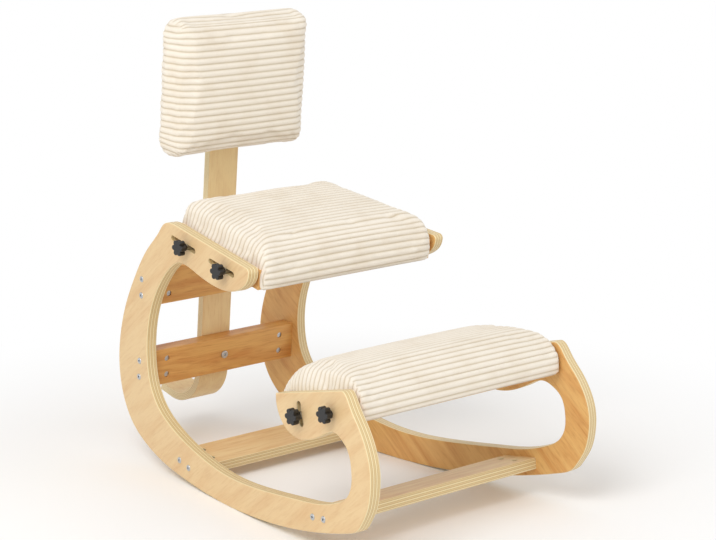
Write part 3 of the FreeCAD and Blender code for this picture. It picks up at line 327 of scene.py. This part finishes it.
def bent_plywood(name, colours):
    """The backrest post's bent plywood: fine upright grain on its faces, and layers that follow the bend.

    Above the hook the layers are straight, and their height is the distance behind the post's front plane.
    Below the height where the hook starts, it is the hook's outer radius less the distance from its centre.
    """
    made, tree, shader = material(name)
    lean = math.radians(POST_LEAN_DEG)
    straight = through(tree, (0.0, math.cos(lean), math.sin(lean)), POST_FRONT)
    where = coordinate(tree, "Object")
    flat = add(tree, "ShaderNodeVectorMath", {0: where, 1: (0.0, 1.0, 1.0)}, operation="MULTIPLY").outputs[0]
    reach = add(tree, "ShaderNodeVectorMath", {0: flat, 1: HOOK_CENTRE}, operation="DISTANCE")
    bent = computed(tree, "SUBTRACT", HOOK_OUTER_RADIUS, reach.outputs["Value"])
    up = add(tree, "ShaderNodeSeparateXYZ", {0: where}).outputs["Z"]
    height = chosen(tree, computed(tree, "LESS_THAN", up, HOOK_TOP), straight, bent)
    face, fibres = figured(tree, rgba(colours.strip), "Z", 0.53, wide=16.0, strength=0.03, depth=0.45)
    side = add(tree, "ShaderNodeSeparateXYZ", {0: coordinate(tree, "Normal")}).outputs["X"]
    is_side = computed(tree, "GREATER_THAN", computed(tree, "ABSOLUTE", side), 0.7)
    edge = mixed(tree, glue_lines(tree, height, POST_PLY, 0.28, 0.7),
                 rgba(colours.ply_edge), rgba(colours.ply_glue))
    lacquer(tree, shader, mixed(tree, is_side, face, edge), fibres)
    return made


def knob_plastic(colours):
    """Moulded nylon, black and slightly matt: fine grain from the mould, and broad dull highlights."""
    made, tree, shader = material("black_moulded_nylon")
    spark = noise(tree, coordinate(tree, "Object"), 1400.0, 2.0)
    shader.inputs["Base Color"].default_value = rgba(colours.knob)
    shader.inputs["Roughness"].default_value = 0.38
    shader.inputs["IOR"].default_value = 1.53
    tree.links.new(bumped(tree, spark, 0.15, 0.0003), shader.inputs["Normal"])
    return made


def zinc_steel(colours):
    """Zinc-plated steel: bright grey metal with a cloudy, slightly uneven polish."""
    made, tree, shader = material("zinc_plated_steel")
    cloud = noise(tree, coordinate(tree, "Object"), 350.0, 3.0)
    shader.inputs["Base Color"].default_value = rgba(colours.zinc)
    shader.inputs["Metallic"].default_value = 1.0
    tree.links.new(between(tree, cloud, 0.22, 0.42), shader.inputs["Roughness"])
    return made


def corduroy(colours):
    """Wide-rib cotton corduroy: soft cut pile on round ribs, and painted shade that darkens the grooves.

    Each attribute counts ribs along the cloth. The remainder's distance from one half tells how near a point
    is to a groove, and so how much painted shade darkens it. One count runs over the top and the front, the
    other round the ends, and the share mixes.
    """
    made, tree, shader = material("cream_wide_rib_corduroy")
    values = {name: add(tree, "ShaderNodeAttribute", attribute_name=name).outputs["Fac"]
              for name in ("rib_over", "rib_round", "rib_share", "plain")}
    grooves = []
    for name in ("rib_over", "rib_round"):
        part = computed(tree, "SUBTRACT", computed(tree, "FRACT", values[name]), 0.5)
        part = computed(tree, "MULTIPLY", computed(tree, "ABSOLUTE", part), 2.0)
        grooves.append(computed(tree, "POWER", part, GROOVE_SHADE_POWER))
    # The groove mask: how much painted shade darkens the cloth between the ribs, and none on the plain
    # lining.
    groove = computed(tree, "MULTIPLY", chosen(tree, values["rib_share"], *grooves),
                      computed(tree, "SUBTRACT", 1.0, values["plain"]))
    where = coordinate(tree, "Object")
    pile, worn = noise(tree, where, 1100.0, 3.0), noise(tree, where, 24.0, 4.0)
    # Painted shade: the pile colour is darkened towards the groove shade colour between the ribs.
    colour = mixed(tree, groove, rgba(colours.corduroy), rgba(colours.corduroy_groove_shade))
    colour = mixed(tree, values["plain"], colour, rgba(colours.lining))
    colour = tinted(tree, colour, contrasted(tree, worn, 0.45, 0.75), 0.22, "#DCCDB4")
    colour = tinted(tree, colour, contrasted(tree, pile, 0.45, 0.75), 0.22, "#CDBFA8")
    tree.links.new(colour, shader.inputs["Base Color"])
    tree.links.new(bumped(tree, pile, 0.35, 0.0006), shader.inputs["Normal"])
    shader.inputs["Roughness"].default_value = 0.95
    shader.inputs["Sheen Weight"].default_value = 0.25
    shader.inputs["Sheen Roughness"].default_value = 0.5
    shader.inputs["Specular IOR Level"].default_value = 0.2
    return made


def arc_points(start, end, bulge, count):
    """Points of an arc from start to end that stands out to the left of its chord by bulge.

    The chord's share t gives the place along it, and the height over it is the bulge times 1 - (2t - 1)^2.
    """
    t = np.linspace(0.0, 1.0, count, endpoint=False)[:, None]
    chord = end - start
    left = np.array([-chord[1], chord[0]]) / np.hypot(*chord)
    return start + chord * t + left * bulge * (1 - (2 * t - 1) ** 2)


class Pad:
    """One pad's form in its own frame: s along it, h up from its underside, x across the chair.

    The width is half the pad's width at s = 0, and the taper is what it loses per metre. The front and the
    rear are each the rounding's reach along the pad, its drop from the top and how far it stands out.
    Corner and shoulder are how far the rounded ends draw in along the pad and down. The cover is how far the
    cloth hangs below the underside.
    """

    def __init__(self, origin, tilt, width, taper, size, thickness, crown, front, rear, corner, shoulder,
                 cover):
        self.origin = np.array(origin)
        self.tilt = math.radians(tilt)
        self.width = width
        self.taper = taper
        self.size = size
        self.thickness = thickness
        self.crown = crown
        self.corner = corner
        self.shoulder = shoulder
        self.cover = cover
        self.end_share = (corner + shoulder) / 2 / (width - taper * size / 2)
        low = EDGE_ROUND
        knots = np.array([(low, 0), (0, low), (0, thickness - front[1]), (front[0], thickness),
                          (size - rear[0], thickness), (size, thickness - rear[1]), (size, low),
                          (size - low, 0), (low, 0)], float)
        bulges = [EDGE_BULGE, SIDE_BULGE, front[2], crown, rear[2], SIDE_BULGE, EDGE_BULGE, UNDERSIDE_SAG]
        self.profile = np.concatenate([arc_points(*run, RUN_POINTS)
                                       for run in zip(knots[:-1], knots[1:], bulges)])

    def half_width(self, s):
        """Half the pad's width at a distance along it."""
        return self.width - self.taper * s

    def share(self, across):
        """How far the end's rounding has drawn a section in: 1 less the sine of the angle whose cosine tells
        how much of the end zone is left outside the section."""
        cosine = np.clip(1 - (1 - np.abs(across)) / self.end_share, 0, 1)
        return 1 - np.sqrt(1 - cosine ** 2)

    def stretch(self, across):
        """The factors on s and h of the section at a share across of the half width."""
        share = self.share(across)
        middle = 1 - across ** 2
        return (1 - 2 * (self.corner * share + MIDDLE_DRAW * middle) / self.size,
                1 + (self.crown * middle - self.shoulder * share) / self.thickness)

    def place(self, local):
        """Points (x, s, h) in the chair's frame."""
        x, s, h = local.T
        cosine, sine = math.cos(self.tilt), math.sin(self.tilt)
        return np.stack([x, cosine * s - sine * h, sine * s + cosine * h], 1) + self.origin

    def unplace(self, world):
        """Points of the chair's frame as (x, s, h)."""
        x, y, z = (world - self.origin).T
        cosine, sine = math.cos(self.tilt), math.sin(self.tilt)
        return np.stack([x, cosine * y + sine * z, -sine * y + cosine * z], 1)

    def start_mesh(self, name, draw_in):
        """A closed mesh of the pad: the profile is carried across from end to end, scaled at each station."""
        turns = np.radians(np.linspace(0, 90, END_ROWS))
        end = 1 - self.end_share * (1 - np.cos(turns))
        inner = np.linspace(end[-1], -end[-1], MIDDLE_ROWS)[1:-1]
        across = np.concatenate([end, inner, -end[::-1]])[:, None]
        along, up = self.stretch(across)
        s = self.size / 2 + (self.profile[:, 0] - self.size / 2) * along * (1 - 2 * draw_in / self.size)
        h = self.profile[:, 1] * up * (1 - draw_in / self.thickness)
        h = h - self.cover * np.clip(1 - h / COVER_REACH, 0, 1)
        x = across * (self.half_width(s) - draw_in)
        rows, columns = s.shape
        points = np.stack([x, s, h], 2).reshape(-1, 3)
        poles = np.array([[x[k].mean(), s[k].mean(), h[k].mean()] for k in (0, -1)])
        points = self.place(np.concatenate([points, poles]))
        index = np.arange(rows * columns).reshape(rows, columns)
        here, right = index[:-1], np.roll(index[:-1], -1, 1)
        below, below_right = index[1:], np.roll(index[1:], -1, 1)
        quads = np.stack([here, below, below_right, right], 2).reshape(-1, 4)
        first, last = index[0], index[-1]
        caps = [np.stack([np.full(columns, rows * columns), first, np.roll(first, -1)], 1),
                np.stack([np.full(columns, rows * columns + 1), np.roll(last, -1), last], 1)]
        mesh = bpy.data.meshes.new(name)
        mesh.from_pydata(points.tolist(), [], quads.tolist() + caps[0].tolist() + caps[1].tolist())
        return mesh

    def rib_counts(self, local, pitch):
        """Rib counts at points: over, by the length along the profile to the nearest point of it, and round,
        by the length to the point of the top edge above. Ribs run straight, and only the ones within
        CORNER_REACH of the front and rear follow the rounded corners."""
        x, s, h = local.T
        along, up = self.stretch(np.clip(x / self.half_width(s), -1, 1))
        pull = self.size / 2 * (1 - along)
        near = [np.clip(1 - gap / CORNER_REACH, 0, 1) for gap in (s, self.size - s)]
        s = s + pull * (near[1] ** 2 - near[0] ** 2)
        h = h / up
        loop = np.concatenate([self.profile, self.profile[:1]])
        run = np.concatenate([[0.0], np.cumsum(np.hypot(*np.diff(loop, axis=0).T))])
        over = np.empty(len(s))
        for first in range(0, len(s), POINTS_AT_ONCE):
            piece = slice(first, first + POINTS_AT_ONCE)
            gap = (s[piece, None] - self.profile[:, 0]) ** 2 + (h[piece, None] - self.profile[:, 1]) ** 2
            nearest = gap.argmin(1)
            tangent = np.roll(self.profile, -1, 0)[nearest] - np.roll(self.profile, 1, 0)[nearest]
            offset = np.stack([s[piece], h[piece]], 1) - self.profile[nearest]
            over[piece] = run[nearest] + (offset * tangent).sum(1) / np.hypot(*tangent.T)
        top = slice(2 * RUN_POINTS, 6 * RUN_POINTS)
        rounded = np.interp(s, self.profile[top, 0], run[:-1][top])
        return over / pitch, rounded / pitch


def coordinates(mesh, name="co"):
    """The mesh's vertex positions or normals as an array."""
    out = np.empty(len(mesh.vertices) * 3)
    mesh.vertices.foreach_get(name, out)
    return out.reshape(-1, 3)


def finished(piece, kind, **settings):
    """Gives a piece one modifier, and then the mesh that it makes."""
    modifier = piece.modifiers.new("form", kind)
    for key, value in settings.items():
        setattr(modifier, key, value)
    made = bpy.data.meshes.new_from_object(piece.evaluated_get(bpy.context.evaluated_depsgraph_get()))
    piece.modifiers.clear()
    piece.data = made


def inflate(piece, fixed, limit):
    """Blows the pad up with cloth pressure, its fixed points held, and caps how far points move."""
    start = coordinates(piece.data)
    group = piece.vertex_groups.new(name="held")
    group.add(np.flatnonzero(fixed).tolist(), 1.0, "REPLACE")
    cloth = piece.modifiers.new("cloth", "CLOTH")
    cloth.settings.quality = 5
    cloth.settings.mass = 0.3
    cloth.settings.use_pressure = True
    cloth.settings.uniform_pressure_force = 4.0
    cloth.settings.vertex_group_mass = "held"
    cloth.settings.effector_weights.gravity = 0.0
    cloth.point_cache.frame_start = 1
    cloth.point_cache.frame_end = CLOTH_FRAMES
    for step in range(1, CLOTH_FRAMES + 1):
        bpy.context.scene.frame_set(step)
    swollen = coordinates(piece.evaluated_get(bpy.context.evaluated_depsgraph_get()).data)
    piece.modifiers.clear()
    piece.vertex_groups.clear()
    bpy.context.scene.frame_set(1)
    move = swollen - start
    size = np.linalg.norm(move, axis=1, keepdims=True)
    move *= np.minimum(1.0, limit / np.maximum(size, 1e-9))
    piece.data.vertices.foreach_set("co", (start + move).ravel())
    piece.data.update()


def make_pad(name, pad, body, node, ribs_behind):
    """Builds one pad: closed form, even mesh, inflation, then ribs raised along the surface's normal.

    A rib's height is a power of the sine of half a turn per rib, so that crests are round and grooves narrow.
    Where a surface faces the chair's side, the count round the ends takes over smoothly.
    """
    sizes = bpy.context.scene.chair_sizes
    draw_in = sizes.swell / 5
    piece = bpy.data.objects.new(name, pad.start_mesh(name, draw_in))
    bpy.context.scene.collection.objects.link(piece)
    finished(piece, "REMESH", mode="VOXEL", voxel_size=sizes.voxel)
    local = pad.unplace(coordinates(piece.data))
    inflate(piece, local[:, 2] < HELD_BELOW, sizes.swell)
    finished(piece, "SUBSURF", levels=2, render_levels=2)
    mesh = piece.data
    mesh.name = name
    points, normals = coordinates(mesh), coordinates(mesh, "normal")
    over, rounded = pad.rib_counts(pad.unplace(points), sizes.rib_pitch)
    facing = np.abs(normals[:, 0])
    share = np.clip((facing - END_FROM) / END_SPAN, 0, 1)
    share = share * share * (3 - 2 * share)
    up = normals @ (pad.place(np.array([[0.0, 0.0, 1.0]])) - pad.place(np.zeros((1, 3))))[0]
    under = np.clip((-up - UNDER_FROM) / UNDER_SPAN, 0, 1)
    plain = np.zeros(len(points)) if ribs_behind else under
    share = np.maximum(share, under) if ribs_behind else share
    height = [np.abs(np.sin(np.pi * count)) ** CREST_POWER for count in (over, rounded)]
    raised = (height[0] * (1 - share) + height[1] * share - MEAN_RIB) * (1 - plain)
    points = points + normals * (raised * sizes.rib_height)[:, None]
    mesh.vertices.foreach_set("co", points.ravel())
    for key, value in (("rib_over", over), ("rib_round", rounded), ("rib_share", share), ("plain", plain)):
        mesh.attributes.new(key, "FLOAT", "POINT").data.foreach_set("value", value.astype(np.float32))
    mesh.polygons.foreach_set("use_smooth", np.ones(len(mesh.polygons), bool))
    mesh.update()
    mesh.materials.clear()
    mesh.materials.append(bpy.data.materials.get("cream_wide_rib_corduroy")
                          or corduroy(bpy.context.scene.chair_colours))
    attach(piece, body)
    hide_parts(node)


def dress(names, made):
    """Gives the named CAD nodes one material in all their slots."""
    for name in names:
        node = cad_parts[name]
        node.data.materials.clear()
        node.data.materials.append(made)


class ChairOperator(bpy.types.Operator):
    """One step in dressing the chair."""

    bl_options = {"REGISTER", "UNDO"}

    def execute(self, context):
        self.build(context.scene.chair_sizes, context.scene.chair_colours)
        return {"FINISHED"}


class CHAIR_OT_frames(ChairOperator):
    """Puts plywood on the two side frames."""

    bl_idname = "chair.frames"
    bl_label = "Side frames"

    def build(self, sizes, colours):
        dress(["side_frame_right"], frame_plywood("birch_plywood_right", 1.0, colours, sizes))
        dress(["side_frame_left"], frame_plywood("birch_plywood_left", -1.0, colours, sizes))


class CHAIR_OT_members(ChairOperator):
    """Puts wood on the rails, slats, post, battens and boards."""

    bl_idname = "chair.members"
    bl_label = "Rails, slats and post"

    def build(self, sizes, colours):
        dress(["upper_rear_rail"], solid_wood("lacquered_pine_upper", 0.21, colours.solid, 1.0, "X"))
        dress(["middle_rear_rail"], solid_wood("lacquered_pine_middle", 0.87, colours.solid, 1.0, "X"))
        dress(["rear_bottom_slat"], slat_plywood("slat_plywood_rear", REAR_SLAT_TILT_DEG, 0.43,
                                                REAR_SLAT_START, colours, sizes))
        dress(["front_bottom_slat"], slat_plywood("slat_plywood_front", FRONT_SLAT_TILT_DEG, 0.66,
                                                 FRONT_SLAT_START, colours, sizes))
        dress(["backrest_post"], bent_plywood("bent_plywood_post", colours))
        inner = solid_wood("planed_beech", 0.12, colours.ply_inner, 0.6, "Y")
        dress(["seat_batten_right", "seat_batten_left", "kneeler_bracket_right", "kneeler_bracket_left",
               "seat_board", "kneeler_board", "backrest_board"], inner)


class CHAIR_OT_fasteners(ChairOperator):
    """Puts plated steel on the bolts and black plastic on the knobs."""

    bl_idname = "chair.fasteners"
    bl_label = "Knobs and fasteners"

    def build(self, sizes, colours):
        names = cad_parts
        dress([name for name in names if "_knob_" in name], knob_plastic(colours))
        words = ("stud", "bolts", "dowels", "nuts", "inserts", "screws")
        dress([name for name in names if any(word in name for word in words)], zinc_steel(colours))


class CHAIR_OT_seat(ChairOperator):
    """Builds the seat's ribbed pad."""

    bl_idname = "chair.seat"
    bl_label = "Seat pad"

    def build(self, sizes, colours):
        pad = Pad(origin=(0.0, -0.078, 0.380), tilt=8.2, width=0.18832, taper=0.0993, size=0.275,
                  thickness=0.076, crown=0.004, front=(0.046, 0.032, 0.012), rear=(0.020, 0.020, 0.006),
                  corner=0.013, shoulder=0.020, cover=0.0012)
        make_pad("seat_pad", pad, "seat", "seat_cushion", False)


class CHAIR_OT_kneeler(ChairOperator):
    """Builds the kneeler's ribbed pad."""

    bl_idname = "chair.kneeler"
    bl_label = "Kneeling pad"

    def build(self, sizes, colours):
        pad = Pad(origin=(0.0, -0.365, 0.230), tilt=-5.0, width=0.21952, taper=0.09996, size=0.230,
                  thickness=0.0725, crown=0.002, front=(0.042, 0.032, 0.006), rear=(0.090, 0.054, 0.013),
                  corner=0.008, shoulder=0.010, cover=0.0012)
        make_pad("kneeling_pad", pad, "kneeler", "kneeler_cushion", False)


class CHAIR_OT_backrest(ChairOperator):
    """Builds the backrest's ribbed pad."""

    bl_idname = "chair.backrest"
    bl_label = "Backrest pad"

    def build(self, sizes, colours):
        tilt = 90 + POST_LEAN_DEG
        half_height, gap_behind = 0.121, 0.0003
        cosine, sine = math.cos(math.radians(tilt)), math.sin(math.radians(tilt))
        low = np.array([0.0, 0.25653, 0.677]) - half_height * np.array([0.0, cosine, sine])
        rounding = (0.018, 0.020, 0.007)
        pad = Pad(origin=low + gap_behind * np.array([0.0, -sine, cosine]), tilt=tilt, width=0.146, taper=0.0,
                  size=2 * half_height, thickness=0.052, crown=0.004, front=rounding, rear=rounding,
                  corner=0.026, shoulder=0.015, cover=0.0008)
        make_pad("backrest_pad", pad, "frame", "backrest_cushion", True)


def floor_material():
    """A pale floor that takes shadows near the chair, and is plain white to the camera further away."""
    made, tree, shader = material("plain_pale_floor")
    shader.inputs["Base Color"].default_value = linear("#FCFBFA")
    shader.inputs["Roughness"].default_value = 0.9
    shader.inputs["Specular IOR Level"].default_value = 0.0
    away = add(tree, "ShaderNodeVectorMath", {0: coordinate(tree, "Object")}, operation="LENGTH")
    far = add(tree, "ShaderNodeMapRange", {"Value": away.outputs["Value"], "From Min": FLOOR_PALE_TO,
                                           "From Max": FLOOR_WHITE_FROM},
              interpolation_type="SMOOTHSTEP").outputs[0]
    far = computed(tree, "MULTIPLY", far, add(tree, "ShaderNodeLightPath").outputs["Is Camera Ray"])
    white = add(tree, "ShaderNodeEmission", {"Color": WHITE, "Strength": 1.0}).outputs[0]
    both = add(tree, "ShaderNodeMixShader", {0: far, 1: shader.outputs[0], 2: white}).outputs[0]
    tree.links.new(both, tree.nodes["Material Output"].inputs["Surface"])
    return made


def add_floor(scene):
    """Adds a wide flat floor."""
    corners = [(x * FLOOR_HALF, y * FLOOR_HALF, 0) for x, y in ((-1, -1), (1, -1), (1, 1), (-1, 1))]
    mesh = bpy.data.meshes.new("floor")
    mesh.from_pydata(corners, [], [(0, 1, 2, 3)])
    mesh.materials.append(floor_material())
    floor = bpy.data.objects.new("floor", mesh)
    scene.collection.objects.link(floor)


def add_world(scene):
    """Adds soft light from all round, which the camera and reflections see as plain white."""
    scene.world = bpy.data.worlds.new("studio")
    scene.world.use_nodes = True
    tree = scene.world.node_tree
    tree.nodes.clear()
    rays = add(tree, "ShaderNodeLightPath")
    seen = rays.outputs["Is Camera Ray"]
    for name in ("Is Glossy Ray", "Is Transmission Ray"):
        seen = computed(tree, "MAXIMUM", seen, rays.outputs[name])
    lit = add(tree, "ShaderNodeBackground", {"Color": (1.0, 0.995, 0.985, 1.0), "Strength": WORLD_STRENGTH})
    shown = add(tree, "ShaderNodeBackground", {"Color": WHITE, "Strength": 1.0})
    both = add(tree, "ShaderNodeMixShader", {0: seen, 1: lit.outputs[0], 2: shown.outputs[0]}).outputs[0]
    add(tree, "ShaderNodeOutputWorld", {"Surface": both})


def add_lamp(scene, name, place, energy, size):
    """Adds one square lamp that faces the chair."""
    lamp = bpy.data.lights.new(name, "AREA")
    lamp.energy = energy
    lamp.size = size
    holder = bpy.data.objects.new(name, lamp)
    holder.location = place
    holder.rotation_euler = (Vector(LAMP_TARGET) - holder.location).to_track_quat("-Z", "Y").to_euler()
    scene.collection.objects.link(holder)


def add_camera(scene):
    """Adds the camera where the photo was taken from."""
    camera = bpy.data.cameras.new("camera")
    camera.lens = CAMERA_LENS_MM
    camera.sensor_width = 36.0
    camera.clip_end = 100.0
    holder = bpy.data.objects.new("camera", camera)
    holder.location = CAMERA_PLACE
    holder.rotation_euler = (math.pi / 2 - math.radians(CAMERA_DOWN_DEG), 0.0,
                             -math.radians(CAMERA_TURN_DEG))
    scene.collection.objects.link(holder)
    scene.camera = holder


class CHAIR_OT_stage(ChairOperator):
    """Adds the floor, the light and the camera."""

    bl_idname = "chair.stage"
    bl_label = "Stage"

    def build(self, sizes, colours):
        scene = bpy.context.scene
        add_floor(scene)
        add_world(scene)
        for lamp in LAMPS:
            add_lamp(scene, *lamp)
        add_camera(scene)
        scene.view_settings.view_transform = "Standard"


OPERATORS = (CHAIR_OT_frames, CHAIR_OT_members, CHAIR_OT_fasteners, CHAIR_OT_seat, CHAIR_OT_kneeler,
             CHAIR_OT_backrest, CHAIR_OT_stage)


class CHAIR_PT_panel(bpy.types.Panel):
    """Lists the steps and the values."""

    bl_label = "Kneeling chair"
    bl_space_type = "VIEW_3D"
    bl_region_type = "UI"
    bl_category = "Chair"

    def draw(self, context):
        for step in OPERATORS:
            self.layout.operator(step.bl_idname)
        for group in (context.scene.chair_sizes, context.scene.chair_colours):
            for key in group.__annotations__:
                self.layout.prop(group, key)


def register():
    """Registers the classes and the two groups of values."""
    for item in (ChairSizes, ChairColours, *OPERATORS, CHAIR_PT_panel):
        bpy.utils.register_class(item)
    bpy.types.Scene.chair_sizes = PointerProperty(type=ChairSizes)
    bpy.types.Scene.chair_colours = PointerProperty(type=ChairColours)


def unregister():
    """Takes them away again."""
    del bpy.types.Scene.chair_sizes
    del bpy.types.Scene.chair_colours
    for item in (CHAIR_PT_panel, *OPERATORS[::-1], ChairColours, ChairSizes):
        bpy.utils.unregister_class(item)


def plain(box):
    """Box corners as lists of numbers."""
    return [[float(value) for value in corner] for corner in box]


def main():
    """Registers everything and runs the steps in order."""
    register()
    for step in OPERATORS:
        group, name = step.bl_idname.split(".")
        getattr(getattr(bpy.ops, group), name)()


if __name__ == "__main__":
    main()
